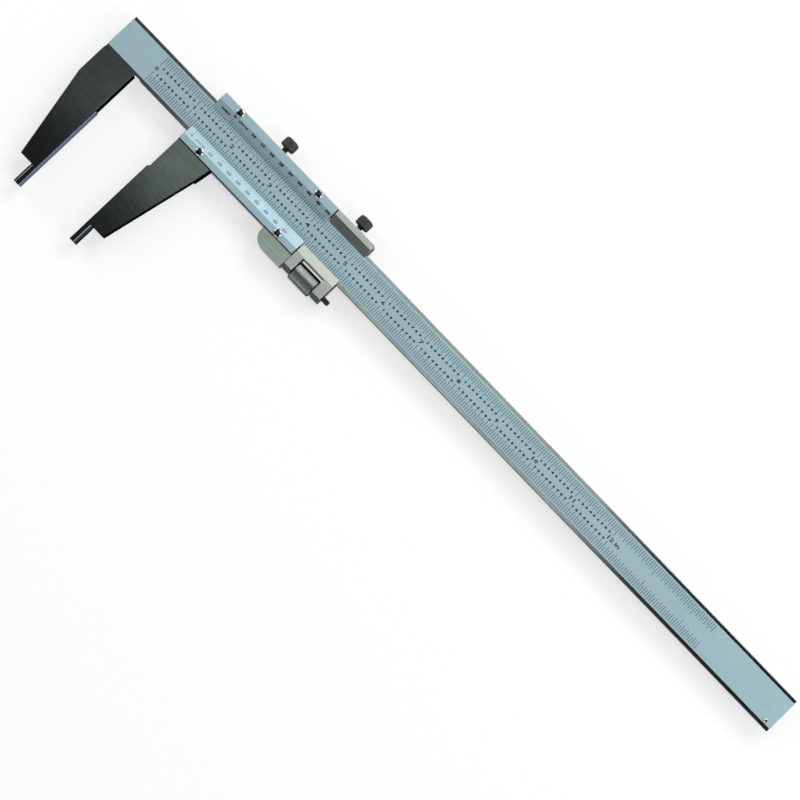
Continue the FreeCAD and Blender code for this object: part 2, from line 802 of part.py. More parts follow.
doc.recompute()
for thing in doc.Objects:
    if "Invalid" in thing.State or "Error" in thing.State:
        raise ValueError(f"{thing.Label}: {thing.State}")
    base = getattr(thing, "BaseFeature", None)
    if base and thing.TypeId == "PartDesign::Pocket" and thing.Shape.Volume > base.Shape.Volume - 1e-4:
        raise ValueError(f"{thing.Label} in {thing.getParentGeoFeatureGroup().Label} cuts nothing")
for piece in pieces:
    if piece.Shape.isNull() or not piece.Shape.isValid() or len(piece.Shape.Solids) != 1:
        raise ValueError(f"{piece.Label} has no single valid solid")
    piece.Shape.exportStep(f"parts/{piece.Label}.step")
    print(piece.Label, round(piece.Shape.Volume, 2), "mm3")
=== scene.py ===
import json
import math

import bmesh
import bpy
import numpy as np
from mathutils import Matrix, Vector


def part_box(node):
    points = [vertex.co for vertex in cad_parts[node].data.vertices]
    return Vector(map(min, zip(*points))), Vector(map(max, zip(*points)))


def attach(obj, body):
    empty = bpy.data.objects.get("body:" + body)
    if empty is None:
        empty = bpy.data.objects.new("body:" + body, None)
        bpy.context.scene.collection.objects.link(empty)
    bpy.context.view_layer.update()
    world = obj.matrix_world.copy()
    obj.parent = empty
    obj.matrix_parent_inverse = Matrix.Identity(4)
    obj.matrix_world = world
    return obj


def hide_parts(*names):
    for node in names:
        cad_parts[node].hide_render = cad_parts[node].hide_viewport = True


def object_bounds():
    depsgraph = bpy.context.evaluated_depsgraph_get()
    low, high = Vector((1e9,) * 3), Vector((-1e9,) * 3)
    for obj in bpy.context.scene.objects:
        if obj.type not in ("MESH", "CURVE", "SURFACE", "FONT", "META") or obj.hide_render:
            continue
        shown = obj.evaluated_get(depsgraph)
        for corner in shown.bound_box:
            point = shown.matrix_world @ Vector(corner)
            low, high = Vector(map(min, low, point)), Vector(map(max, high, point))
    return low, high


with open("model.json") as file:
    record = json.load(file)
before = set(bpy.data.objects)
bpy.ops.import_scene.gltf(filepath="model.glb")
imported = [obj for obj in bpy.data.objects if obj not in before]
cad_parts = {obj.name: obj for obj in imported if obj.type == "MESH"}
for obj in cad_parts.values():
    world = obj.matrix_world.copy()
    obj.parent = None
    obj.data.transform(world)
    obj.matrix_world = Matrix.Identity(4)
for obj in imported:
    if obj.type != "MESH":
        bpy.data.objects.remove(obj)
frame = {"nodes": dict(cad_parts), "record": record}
cadLow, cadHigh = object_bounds()
print("frame loaded with", len(frame["nodes"]), "pieces")

mm = 0.001
inch = 0.0254

# the beam gives the lines that every other place is measured from
beamLow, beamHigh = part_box("main_beam")
beamBehindFace = 19.6 * mm
measuringFace = beamLow.x + beamBehindFace  # x of the fixed measuring face
centreLine = (beamLow.y + beamHigh.y) / 2   # y of the middle of the beam
landTop = beamHigh.z                        # z of the graduated face

# nearly straight down from arm's length, turned so that the beam runs to the lower right
cameraSetup = {"away": 0.8, "width": 0.3724, "roll": 46.10, "lean": 0.7, "tip": 2.8,
               "alongBeam": 0.19543, "acrossBeam": -0.0258}
cameraData = bpy.data.cameras.new("camera")
cameraData.sensor_width = 36.0
cameraData.lens = 36.0 * cameraSetup["away"] / cameraSetup["width"]
cameraData.clip_start = 0.01
camera = bpy.data.objects.new("camera", cameraData)
lean = Matrix.Rotation(math.radians(cameraSetup["lean"]), 4, "Y") @ Matrix.Rotation(
    math.radians(cameraSetup["tip"]), 4, "X")
aim = Vector((
    measuringFace + cameraSetup["alongBeam"], centreLine + cameraSetup["acrossBeam"], landTop,
))
camera.matrix_world = (
    Matrix.Translation(aim + lean @ Vector((0, 0, cameraSetup["away"])))
    @ lean @ Matrix.Rotation(math.radians(cameraSetup["roll"]), 4, "Z")
)
bpy.context.scene.collection.objects.link(camera)
bpy.context.scene.camera = camera
bpy.context.scene.view_settings.view_transform = "Standard"


def addNode(tree, kind, links=None, **settings):
    # one shader node; in links a socket is linked and anything else is set as the value
    node = tree.nodes.new("ShaderNode" + kind)
    for key, setting in settings.items():
        setattr(node, key, setting)
    for key, given in (links or {}).items():
        if isinstance(given, bpy.types.NodeSocket):
            tree.links.new(given, node.inputs[key])
        else:
            node.inputs[key].default_value = given
    return node


def newGroup(name, inputs, outputs):
    # an empty node group with its sockets, and the two nodes that stand for them inside it
    group = bpy.data.node_groups.new(name, "ShaderNodeTree")
    for label, kind, start in inputs:
        socket = group.interface.new_socket(label, in_out="INPUT", socket_type="NodeSocket" + kind)
        socket.default_value = start
    for label, kind in outputs:
        group.interface.new_socket(label, in_out="OUTPUT", socket_type="NodeSocket" + kind)
    return group, group.nodes.new("NodeGroupInput").outputs, group.nodes.new("NodeGroupOutput").inputs


def remap(tree, given, low, high, start=0.0, end=1.0):
    # the value carried in a straight line from low..high to start..end
    links = {"Value": given, "From Min": low, "From Max": high, "To Min": start, "To Max": end}
    return addNode(tree, "MapRange", links).outputs["Result"]


def buildGrain():
    # machining marks: noise on the object's own coordinates, stretched by three numbers per metre
    group, given, made = newGroup(
        "machiningGrain",
        [("Stretch", "Vector", (40, 3000, 3000)), ("Cloudiness", "Float", 45.0)],
        [("Streak", "Float"), ("Cloud", "Float")],
    )
    place = addNode(group, "TexCoord").outputs["Object"]
    long = addNode(group, "VectorMath", {0: place, 1: given["Stretch"]}, operation="MULTIPLY")
    streak = addNode(
        group, "TexNoise", {"Vector": long.outputs[0], "Scale": 1.0, "Detail": 3.0, "Roughness": 0.6}
    )
    cloud = addNode(
        group, "TexNoise", {"Vector": place, "Scale": given["Cloudiness"], "Detail": 4.0, "Roughness": 0.55}
    )
    group.links.new(remap(group, streak.outputs[0], 0.28, 0.72), made["Streak"])
    group.links.new(remap(group, cloud.outputs[0], 0.3, 0.7), made["Cloud"])
    return group


def buildEdgeWear():
    # where the rounded normal leaves the flat one there is an edge, broken up by fine noise; the edge is
    # painted lighter, partly as wear and partly as a painted highlight along the edge
    group, given, made = newGroup(
        "edgeWear", [("Width", "Float", 0.0003), ("Break", "Float", 900.0)], [("Wear", "Float")]
    )
    rounded = addNode(group, "Bevel", {"Radius": given["Width"]}, samples=4)
    flat = addNode(group, "NewGeometry").outputs["Normal"]
    turn = addNode(group, "VectorMath", {0: rounded.outputs[0], 1: flat}, operation="DOT_PRODUCT")
    edge = remap(group, turn.outputs["Value"], 0.995, 0.88)
    place = addNode(group, "TexCoord").outputs["Object"]
    noise = addNode(group, "TexNoise", {"Vector": place, "Scale": given["Break"], "Detail": 2.0})
    worn = remap(group, noise.outputs[0], 0.36, 0.56, 0.35, 1.0)
    both = addNode(group, "Math", {0: edge, 1: worn}, operation="MULTIPLY")
    group.links.new(both.outputs[0], made["Wear"])
    return group


def buildSpecks():
    # fine dust: the bright tips of a small noise, thinned out by a larger one
    group, given, made = newGroup(
        "fineDust", [("Size", "Float", 2600.0), ("Spread", "Float", 60.0)], [("Dust", "Float")]
    )
    place = addNode(group, "TexCoord").outputs["Object"]
    fine = addNode(group, "TexNoise", {"Vector": place, "Scale": given["Size"], "Detail": 1.0})
    wide = addNode(group, "TexNoise", {"Vector": place, "Scale": given["Spread"], "Detail": 2.0})
    tips = remap(group, fine.outputs[0], 0.66, 0.74)
    patches = remap(group, wide.outputs[0], 0.45, 0.7)
    both = addNode(group, "Math", {0: tips, 1: patches}, operation="MULTIPLY")
    group.links.new(both.outputs[0], made["Dust"])
    return group


def buildSides():
    # how far a face is from level: 0 on the faces that were ground flat, 1 on the upright sides; this mask
    # places the painted side light
    group, given, made = newGroup(
        "uprightSides", [("From", "Float", 0.95), ("To", "Float", 0.75)], [("Side", "Float")]
    )
    normal = addNode(group, "TexCoord").outputs["Normal"]
    upright = addNode(group, "SeparateXYZ", {0: normal}).outputs["Z"]
    level = addNode(group, "Math", {0: upright}, operation="ABSOLUTE")
    group.links.new(remap(group, level.outputs[0], given["From"], given["To"]), made["Side"])
    return group


sideGroup = buildSides()
grainGroup = buildGrain()
wearAndGlintGroup = buildEdgeWear()
dustGroup = buildSpecks()


def mix(tree, amount, first, second):
    # a colour between two others
    node = tree.nodes.new("ShaderNodeMix")
    node.data_type = "RGBA"
    for socket, given in ((node.inputs[0], amount), (node.inputs[6], first), (node.inputs[7], second)):
        if isinstance(given, bpy.types.NodeSocket):
            tree.links.new(given, socket)
        else:
            socket.default_value = given if socket.type == "VALUE" else (*given, 1.0)
    return node.outputs[2]


def useGroup(tree, group, **values):
    node = tree.nodes.new("ShaderNodeGroup")
    node.node_tree = group
    for label, given in values.items():
        node.inputs[label].default_value = given
    return node


blendEnds = (0.3, 1.7)              # where streak plus cloud runs from one end to the other
dustColour = (0.62, 0.6, 0.56)
lappedWithin = 0.06 * mm
finishBlur = 0.05 * mm


def finishOf(tree, look):
    # colour, roughness and bump height of one finish
    grain = useGroup(tree, grainGroup, Stretch=look["stretch"], Cloudiness=look["cloudiness"])
    wear = useGroup(tree, wearAndGlintGroup, Width=look["wearWidth"])
    dust = useGroup(tree, dustGroup)
    blend = addNode(tree, "Math", {0: grain.outputs["Streak"], 1: grain.outputs["Cloud"]}, operation="ADD")
    colour = mix(tree, remap(tree, blend.outputs[0], *blendEnds), look["dark"], look["light"])
    side = useGroup(tree, sideGroup).outputs["Side"]
    # upright sides take a painted side light: painted shade on the steel walls, a painted highlight round
    # the screw rims
    colour = mix(tree, remap(tree, side, 0, 1, 0, look["sideShare"]), colour, look["sideColour"])
    if "lapped" in look:
        # the upright wall at one place along the beam, painted a bluish reflection in place of the painted
        # side shade
        place = addNode(tree, "TexCoord").outputs["Object"]
        along = addNode(tree, "SeparateXYZ", {0: place}).outputs["X"]
        near = addNode(tree, "Math", {0: along, 1: look["lapped"], 2: lappedWithin}, operation="COMPARE")
        both = addNode(tree, "Math", {0: near.outputs[0], 1: side}, operation="MULTIPLY")
        colour = mix(tree, both.outputs[0], colour, look["lappedColour"])
    # edges painted lighter: wear, and a painted highlight where the edge catches the light
    colour = mix(tree, remap(tree, wear.outputs["Wear"], 0, 1, 0, look["wear"]), colour, look["worn"])
    colour = mix(tree, remap(tree, dust.outputs["Dust"], 0, 1, 0, look["dust"]), colour, dustColour)
    smooth, rough = look["roughness"]
    roughness = remap(tree, blend.outputs[0], *blendEnds, rough, smooth)
    height = addNode(
        tree, "Math", {0: grain.outputs["Streak"], 1: look["bump"]}, operation="MULTIPLY"
    ).outputs[0]
    return colour, roughness, height


def metalMaterial(name, look, other=None, level=0.0):
    # one finish over the whole piece, or a second finish below a height
    material = bpy.data.materials.new(name)
    material.use_nodes = True
    tree = material.node_tree
    shader = next(n for n in tree.nodes if n.type == "BSDF_PRINCIPLED")
    colour, roughness, height = finishOf(tree, look)
    if other:
        place = addNode(tree, "TexCoord").outputs["Object"]
        up = addNode(tree, "SeparateXYZ", {0: place}).outputs["Z"]
        above = remap(tree, up, level - finishBlur, level + finishBlur)
        otherColour, otherRoughness, otherHeight = finishOf(tree, other)
        colour = mix(tree, above, otherColour, colour)
        pair = []
        for low, high in ((otherRoughness, roughness), (otherHeight, height)):
            node = addNode(tree, "Mix", {0: above, 2: low, 3: high})
            pair.append(node.outputs[0])
        roughness, height = pair
    bump = addNode(tree, "Bump", {"Height": height, "Distance": 0.02 * mm, "Strength": 0.5})
    tree.links.new(colour, shader.inputs["Base Color"])
    tree.links.new(roughness, shader.inputs["Roughness"])
    tree.links.new(bump.outputs["Normal"], shader.inputs["Normal"])
    shader.inputs["Metallic"].default_value = look["metallic"]
    shader.inputs["Specular Tint"].default_value = (*look["edgeTint"], 1.0)
    return material


plain = {
    "metallic": 1.0, "cloudiness": 45.0, "stretch": (40, 3000, 3000), "bump": 1.0,
    "wear": 0.5, "wearWidth": 0.0003, "worn": (0.8, 0.82, 0.82), "dust": 0.25, "roughness": (0.25, 0.35),
    "sideShare": 0.0, "sideColour": (0.1, 0.1, 0.1), "edgeTint": (1.0, 1.0, 1.0),
}
satinLook = plain | {
    "light": (0.44, 0.60, 0.65), "dark": (0.37, 0.52, 0.57), "roughness": (0.54, 0.64),
    "stretch": (1500, 2500, 2500), "bump": 0.35, "wear": 0.12, "worn": (0.8, 0.88, 0.9), "cloudiness": 30.0,
}
groundLook = plain | {
    "light": (0.40, 0.48, 0.44), "dark": (0.24, 0.31, 0.28), "roughness": (0.10, 0.16),
    "stretch": (90, 2600, 2600), "bump": 0.5, "dust": 0.06, "wear": 0.03,
    # painted shade: the upright walls are painted near-black navy
    "sideShare": 0.96, "sideColour": (0.018, 0.02, 0.04), "edgeTint": (0.10, 0.10, 0.14),
}
# painted shade: the step beside the lower plate is painted near-black
paintedStepShadeLook = groundLook | {"light": (0.035, 0.04, 0.045), "dark": (0.02, 0.022, 0.028)}
carriageLook = plain | {
    "light": (0.66, 0.72, 0.66), "dark": (0.52, 0.58, 0.53), "roughness": (0.26, 0.36),
    # painted shade: the upright sides of the carriage are painted dark
    "stretch": (120, 2400, 2400), "bump": 0.8, "sideShare": 0.9, "sideColour": (0.06, 0.065, 0.055),
    "wear": 0.2, "edgeTint": (0.2, 0.2, 0.18),
}
nutLook = plain | {
    "light": (0.22, 0.24, 0.235), "dark": (0.13, 0.145, 0.14), "roughness": (0.26, 0.34),
    "stretch": (60, 3000, 3000), "bump": 0.3, "wear": 0.2, "worn": (0.4, 0.42, 0.42),
    "edgeTint": (0.12, 0.12, 0.12),
}
# screw heads: a near-black base as a painted dark reflection in the middle of each dome, and a painted
# highlight on the rim through the side light
screwPaintedReflectionLook = plain | {
    "light": (0.075, 0.08, 0.085), "dark": (0.05, 0.055, 0.06), "roughness": (0.10, 0.18),
    "stretch": (800, 1600, 1600), "bump": 0.15, "wear": 0.0,
    "sideShare": 0.9, "sideColour": (0.85, 0.88, 0.9),
}
blackLook = plain | {
    "light": (0.035, 0.042, 0.040), "dark": (0.012, 0.015, 0.015), "roughness": (0.28, 0.42),
    "stretch": (900, 1600, 1600), "bump": 0.5, "wear": 0.35, "worn": (0.16, 0.17, 0.17),
    "metallic": 0.4,
}
bronzeLook = plain | {
    "light": (0.72, 0.50, 0.28), "dark": (0.50, 0.33, 0.17), "stretch": (80, 2600, 2600),
}
# the lapped measuring wall gets a painted bluish reflection
lappedLook = groundLook | {
    "lapped": measuringFace, "lappedColour": (0.42, 0.44, 0.62), "edgeTint": (0.2, 0.2, 0.26),
}
inkLook = plain | {
    "light": (0.018, 0.032, 0.055), "dark": (0.008, 0.016, 0.032), "roughness": (0.45, 0.6), "bump": 0.2,
    "stretch": (3000, 3000, 3000), "wear": 0.0, "metallic": 0.0, "dust": 0.1,
}
# painted sheen: a lighter copy of the ink for the lower plate, whose sloping face catches the light
paintedSheenInkLook = inkLook | {"light": (0.20, 0.30, 0.33), "dark": (0.14, 0.23, 0.26)}

materials = {
    "satin_chrome": metalMaterial("satinChrome", satinLook),
    "ground_steel": metalMaterial("groundSteel", groundLook),
    "carriage_steel": metalMaterial("carriageSteel", carriageLook),
    "nut_steel": metalMaterial("nutSteel", nutLook),
    "bright_steel": metalMaterial("brightSteel", screwPaintedReflectionLook),
    "black_steel": metalMaterial("blackSteel", blackLook),
    "gib_bronze": metalMaterial("gibBronze", bronzeLook),
    "scale_ink": metalMaterial("scaleInk", inkLook),
}
paintedSheenInk = metalMaterial("scaleInkPale", paintedSheenInkLook)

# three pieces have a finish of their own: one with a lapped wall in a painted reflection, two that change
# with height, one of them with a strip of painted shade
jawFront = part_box("lower_vernier_plate")[0].z - 0.15 * mm
ledgeTop = landTop - 0.25 * mm
ownFinish = {
    "fixed_jaw": metalMaterial("groundSteelLapped", lappedLook),
    # the narrow step beside the lower plate gets painted shade, darker than the jaw in front of it
    "slider_frame": metalMaterial("groundSteelStepped", paintedStepShadeLook, groundLook, jawFront),
    "main_beam": metalMaterial("chromeOnGroundSteel", satinLook, groundLook, ledgeTop),
}
print("materials made:", len(materials) + 1 + len(ownFinish))


def gridFaces(rows, columns, closeRows=False, closeColumns=False):
    # the four-sided faces of a grid of points stored row by row
    row, column = np.meshgrid(
        np.arange(rows if closeRows else rows - 1),
        np.arange(columns if closeColumns else columns - 1),
        indexing="ij",
    )
    nextRow, nextColumn = (row + 1) % rows, (column + 1) % columns
    corners = (row * columns + column, row * columns + nextColumn,
               nextRow * columns + nextColumn, nextRow * columns + column)
    return np.stack(corners, -1).reshape(-1, 4)


def makePiece(name, points, faces, body, slot, replaced=(), sharpAt=35):
    # closed mesh from points and faces: doubles merged, every shell turned to face outwards
    mesh = bpy.data.meshes.new(name)
    points = np.asarray(points, float).reshape(-1, 3)
    mesh.from_pydata(points.tolist(), [], [list(map(int, f)) for f in faces])
    shell = bmesh.new()
    shell.from_mesh(mesh)
    bmesh.ops.remove_doubles(shell, verts=shell.verts, dist=1e-7)
    bmesh.ops.recalc_face_normals(shell, faces=shell.faces)
    shell.to_mesh(mesh)
    shell.free()
    mesh.polygons.foreach_set("use_smooth", np.ones(len(mesh.polygons), bool))
    mesh.set_sharp_from_angle(angle=math.radians(sharpAt))
    mesh.materials.append(materials[slot])
    piece = bpy.data.objects.new(name, mesh)
    bpy.context.scene.collection.objects.link(piece)
    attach(piece, body)
    if replaced:
        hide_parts(*replaced)
    return piece


def bodyOf(node):
    return next(b for b, nodes in frame["record"]["behaviour"]["bodies"].items() if node in nodes)


# machined pieces keep their CAD shape, with every sharp edge broken by a small bevel;
# each has its name, slot, width of the bevel and the angle from which an edge is shaded sharp
edgeBreaks = {
    "main_beam": ("beamBody", "satin_chrome", 0.12, 180),
    "fixed_jaw": ("fixedJaw", "ground_steel", 0.15, 180),
    "slider_frame": ("sliderAndJaw", "ground_steel", 0.15, 180),
    "upper_vernier_plate": ("upperPlate", "satin_chrome", 0.06, 8),
    "lower_vernier_plate": ("lowerPlate", "satin_chrome", 0.06, 8),
    "carriage_frame": ("carriage", "carriage_steel", 0.15, 8),
}
for node, (name, slot, width, sharpAt) in edgeBreaks.items():
    shell = bmesh.new()
    shell.from_mesh(frame["nodes"][node].data)
    bmesh.ops.remove_doubles(shell, verts=shell.verts, dist=1e-6)
    bmesh.ops.dissolve_limit(shell, angle_limit=math.radians(0.5), verts=shell.verts, edges=shell.edges)
    points = np.array([v.co for v in shell.verts])
    faces = [[v.index for v in f.verts] for f in shell.faces]
    shell.free()
    piece = makePiece(name, points, faces, bodyOf(node), slot, [node], sharpAt)
    if node in ownFinish:
        piece.data.materials[0] = ownFinish[node]
    bevel = piece.modifiers.new("edgeBreak", "BEVEL")
    bevel.width = width * mm
    bevel.segments = 2
    bevel.limit_method = "ANGLE"
    bevel.angle_limit = math.radians(30)
    bevel.harden_normals = True
    bevel.miter_outer = "MITER_ARC"
print("machined pieces bevelled:", len(edgeBreaks))

# small pieces that show only on the back and the edges keep their CAD mesh
for material in frame["record"]["materials"]:
    for node in material.get("nodes", []):
        held = frame["nodes"][node].data.materials
        held.clear()
        held.append(materials[material["slot"]])


def turned(name, node, along, radius, around, relief, axis, slot):
    # surface of revolution about the CAD piece's own axis: at each turn angle and place along it,
    # radius minus relief; the ends run in to the axis
    low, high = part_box(node)
    middle = (low + high) / 2
    angle = np.arange(around) * 2 * math.pi / around
    angles, places = np.meshgrid(angle, along)
    reach = np.repeat(radius[:, None], around, 1) - relief(angles, places)
    across, up = np.maximum(reach, 0) * np.cos(angles), np.maximum(reach, 0) * np.sin(angles)
    if axis == "x":
        points = np.stack([places, middle.y + across, middle.z + up], -1)
    else:
        points = np.stack([middle.x + across, places, middle.z + up], -1)
    faces = gridFaces(len(along), around, closeColumns=True)
    return makePiece(name, points, faces, bodyOf(node), slot, [node], sharpAt=50)


def groove(phase, width):
    # a V groove once per turn of the phase, 1 deep at its middle
    return np.clip(1 - np.abs((phase % 1) - 0.5) * 2 / width, 0, 1)


# clamp screws: one black turned piece, its head cross-knurled between rounded corners
knob = {"headHeight": 5.2, "neck": 1.4, "step": 0.3, "topCorner": 1.3, "underCorner": 0.9, "topRim": 0.6,
        "cornerRings": 9, "sideRings": 44, "starts": 24, "depth": 0.16, "grooveWidth": 0.5, "around": 240}
for node, name in (("slider_clamp_screw", "sliderClampKnob"), ("carriage_clamp_screw", "carriageClampKnob")):
    low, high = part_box(node)
    headRadius = (high.x - low.x) / 2
    under, top = high.y - knob["headHeight"] * mm, high.y
    turn = np.linspace(0, math.pi / 2, knob["cornerRings"])
    foot, crown, neck, step = (knob[key] * mm for key in ("underCorner", "topCorner", "neck", "step"))
    side = np.linspace(under + foot, top - crown, knob["sideRings"])[1:-1]
    along = np.concatenate([
        [low.y, low.y, low.y + step, under - step, under],
        under + foot * (1 - np.cos(turn)), side, top - crown * (1 - np.sin(turn)), [top, top],
    ])
    radius = np.concatenate([
        [0, neck - step, neck, neck, neck + step],
        headRadius - foot * (1 - np.sin(turn)), np.full(len(side), headRadius),
        headRadius - crown * (1 - np.cos(turn)), [headRadius - crown - knob["topRim"] * mm, 0],
    ])
    pitch = 2 * math.pi * headRadius / knob["starts"]

    def diamonds(angles, places):
        # two sets of crossing helical grooves, fading out on the corners
        phase, width = angles * knob["starts"] / (2 * math.pi), knob["grooveWidth"]
        crossed = np.maximum(groove(phase + places / pitch, width), groove(phase - places / pitch, width))
        fadeUnder = np.clip((places - under - 0.4 * foot) / foot, 0, 1)
        fadeTop = np.clip((top - 0.35 * crown - places) / foot, 0, 1)
        return crossed * fadeUnder * fadeTop * knob["depth"] * mm

    turned(name, node, along, radius, knob["around"], diamonds, "y", "black_steel")

# fine-feed nut: a straight-knurled sleeve with chamfered ends and a through bore
nut = {"bore": 1.5, "chamfer": 0.55, "teeth": 72, "depth": 0.05, "pointsPerTooth": 6, "grooveWidth": 0.8}
low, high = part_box("feed_nut")
outer = (high.y - low.y) / 2
cut, bore = nut["chamfer"] * mm, nut["bore"] * mm
# each ring's place, radius and share of the groove's depth, from the bore round the outside and back
loopAlong = np.array([
    low.x, low.x, low.x + cut, low.x + 2 * cut, high.x - 2 * cut, high.x - cut, high.x, high.x,
])
loopRadius = np.array([bore, outer - cut, outer, outer, outer, outer, outer - cut, bore])
loopDepth = np.array([0, 0.15, 0.8, 1, 1, 0.8, 0.15, 0]) * nut["depth"] * mm
around = nut["teeth"] * nut["pointsPerTooth"]
angle = np.arange(around) * 2 * math.pi / around
valleys = groove(angle * nut["teeth"] / (2 * math.pi), nut["grooveWidth"])
reach = loopRadius[:, None] - loopDepth[:, None] * valleys[None]
middle = (low + high) / 2
points = np.stack([
    np.repeat(loopAlong[:, None], around, 1),
    middle.y + reach * np.cos(angle), middle.z + reach * np.sin(angle),
], -1)
faces = gridFaces(len(loopAlong), around, closeRows=True, closeColumns=True)
makePiece("feedNutSleeve", points, faces, "nut", "nut_steel", ["feed_nut"], sharpAt=40)

# feed screw: a helical thread from the lug to a pointed end
thread = {"pitch": 0.5, "depth": 0.27, "plain": 12.0, "point": 0.5, "pointDepth": 0.45,
          "stepsPerTurn": 10, "around": 28}
low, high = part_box("feed_screw")
outer = (high.y - low.y) / 2
steps = int((high.x - low.x) / (thread["pitch"] * mm) * thread["stepsPerTurn"])
along = np.concatenate([[low.x], np.linspace(low.x, high.x, steps), [high.x]])
taper = np.clip((high.x - along) / (thread["point"] * mm), 0, 1)
radius = outer - (1 - taper) * thread["pointDepth"] * mm
radius[0] = radius[-1] = 0


def threadDepth(angles, places):
    # a triangular valley that moves along by one pitch a turn, starting past the plain shank
    valley = 1 - np.abs(((places / (thread["pitch"] * mm) - angles / (2 * math.pi)) % 1) * 2 - 1)
    start = np.clip((places - low.x - thread["plain"] * mm) / (thread["pitch"] * mm), 0, 1)
    ends = np.where((places <= low.x) | (places >= high.x), 0.0, 1.0)
    return valley * start * ends * thread["depth"] * mm


turned("feedScrewThread", "feed_screw", along, radius, thread["around"], threadDepth, "x", "black_steel")

# domed screws: the top is a disk of straight rows across, so that the driver slot has straight walls
dome = {"head": 1.0, "rim": 0.25, "bulge": 0.93, "slotWidth": 0.55, "slotDepth": 0.55, "shank": 1.0,
        "shankShare": 0.62, "rows": 24}
headHeight, rim = dome["head"] * mm, dome["rim"] * mm
halfSlot = dome["slotWidth"] * mm / 2
# how far each slot is turned, in degrees; the stop has none
domes = {
    "upper_plate_screw_1": 35, "upper_plate_screw_2": -20,
    "lower_plate_screw_1": 60, "lower_plate_screw_2": 15, "end_stop_screw": None,
}
for node, slotTurn in domes.items():
    low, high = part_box(node)
    middle = (low + high) / 2
    headRadius = (high.x - low.x) / 2
    row = headRadius * np.cos(np.linspace(math.pi, 0, dome["rows"] + 1))
    if slotTurn is not None:
        edge = [-halfSlot - 1e-6, -halfSlot, halfSlot, halfSlot + 1e-6]
        row = np.sort(np.concatenate([row[np.abs(row) > halfSlot * 1.2], edge, [0.0]]))
    part = np.linspace(-1, 1, dome["rows"] + 1)
    x, share = np.meshgrid(row, part, indexing="ij")
    y = share * np.sqrt(np.maximum(headRadius ** 2 - x ** 2, 0))
    away = np.sqrt(x ** 2 + y ** 2) / headRadius
    # an arc that falls from the top, at the middle, to the top of the rim
    fall = (1 - np.sqrt(np.maximum(1 - dome["bulge"] * away ** 2, 0))) / (1 - math.sqrt(1 - dome["bulge"]))
    z = high.z - (headHeight - rim) * fall
    if slotTurn is not None:
        z = np.where(np.abs(x) <= halfSlot, np.minimum(z, high.z - dome["slotDepth"] * mm), z)
    turnBy = math.radians(slotTurn or 0)
    top = np.stack([
        middle.x + x * math.cos(turnBy) - y * math.sin(turnBy),
        middle.y + x * math.sin(turnBy) + y * math.cos(turnBy), z,
    ], -1)
    rows, columns = top.shape[:2]
    index = np.arange(rows * columns).reshape(rows, columns)
    loop = np.concatenate([index[:, 0], index[::-1, -1]])     # once round the rim
    rimPoints = top.reshape(-1, 3)[loop]
    centre = np.array([middle.x, middle.y, 0])
    shank = min(dome["shank"] * mm, headRadius * dome["shankShare"]) / headRadius
    under = high.z - headHeight
    rings = []
    for share, height in ((1.0, under), (shank, under), (shank, low.z), (0.0, low.z)):
        ring = centre + (rimPoints - centre) * (share, share, 0)
        ring[:, 2] = height
        rings.append(ring)
    points = np.concatenate([top.reshape(-1, 3), *rings])
    faces = list(gridFaces(rows, columns))
    levels = [loop] + [rows * columns + len(loop) * k + np.arange(len(loop)) for k in range(4)]
    for upper, lower in zip(levels, levels[1:]):
        faces += list(np.stack([upper, np.roll(upper, -1), np.roll(lower, -1), lower], -1))
    name = "".join(w.capitalize() for w in node.split("_"))
    makePiece(name[0].lower() + name[1:], points, faces, bodyOf(node), "bright_steel", [node], sharpAt=40)
print("turned pieces and screws made")


# how far the filling of an engraved line stands above and reaches below its surface
inlay = {"proud": 0.012 * mm, "sunk": 0.03 * mm}
boxCorners = np.array([[x, y, z] for x in (-1, 1) for y in (-1, 1) for z in (0, 1)], float)
boxFaces = np.array([[0, 1, 3, 2], [4, 6, 7, 5], [0, 4, 5, 1], [2, 3, 7, 6], [0, 2, 6, 4], [1, 5, 7, 3]])


def onto(points, surface):
    # z of 0 and 1 becomes just under and just over the surface height at that place
    height = surface(points[..., 1])
    points[..., 2] = np.where(points[..., 2] > 0.5, height + inlay["proud"], height - inlay["sunk"])
    return points


def lineRow(places, starts, ends, width):
    # one flat bar for each line: centred on its place along the beam, from start to end across it
    middle, half = (starts + ends) / 2, np.abs(ends - starts) / 2
    points = np.repeat(boxCorners[None], len(places), 0)
    points[:, :, 0] = places[:, None] + points[:, :, 0] * width / 2
    points[:, :, 1] = middle[:, None] + points[:, :, 1] * half[:, None]
    return points


def makeLines(name, bars, surface, body):
    points = onto(np.concatenate(bars), surface)
    faces = (boxFaces[None] + 8 * np.arange(len(points))[:, None, None]).reshape(-1, 4)
    return makePiece(name, points, faces, body, "scale_ink")


glyphs = {}
letterWidth = 1.6


def glyph(text, weight):
    # the outline of a short text as a thin solid, centred, with its 0 one unit high
    if (text, weight) not in glyphs:
        curve = bpy.data.curves.new("marking", "FONT")
        curve.body, curve.align_x = text, "CENTER"
        curve.extrude, curve.resolution_u, curve.offset = 0.5, 1, weight
        item = bpy.data.objects.new("marking", curve)
        bpy.context.scene.collection.objects.link(item)
        bpy.context.view_layer.update()
        mesh = bpy.data.meshes.new_from_object(item.evaluated_get(bpy.context.evaluated_depsgraph_get()))
        bpy.data.objects.remove(item)
        points = np.zeros(len(mesh.vertices) * 3)
        mesh.vertices.foreach_get("co", points)
        points = points.reshape(-1, 3)
        if "size" not in glyphs:
            glyphs["size"] = np.ptp(points[:, 1]), points[:, 1].min()
        size, base = glyphs["size"]
        points[:, 1] = (points[:, 1] - base) / size - 0.5
        points[:, 0] *= letterWidth / size
        points[:, 2] += 0.5
        glyphs[text, weight] = points, [list(p.vertices) for p in mesh.polygons]
    return glyphs[text, weight]


# the first outline made sets the height of all the others
glyph("0", 0.02)


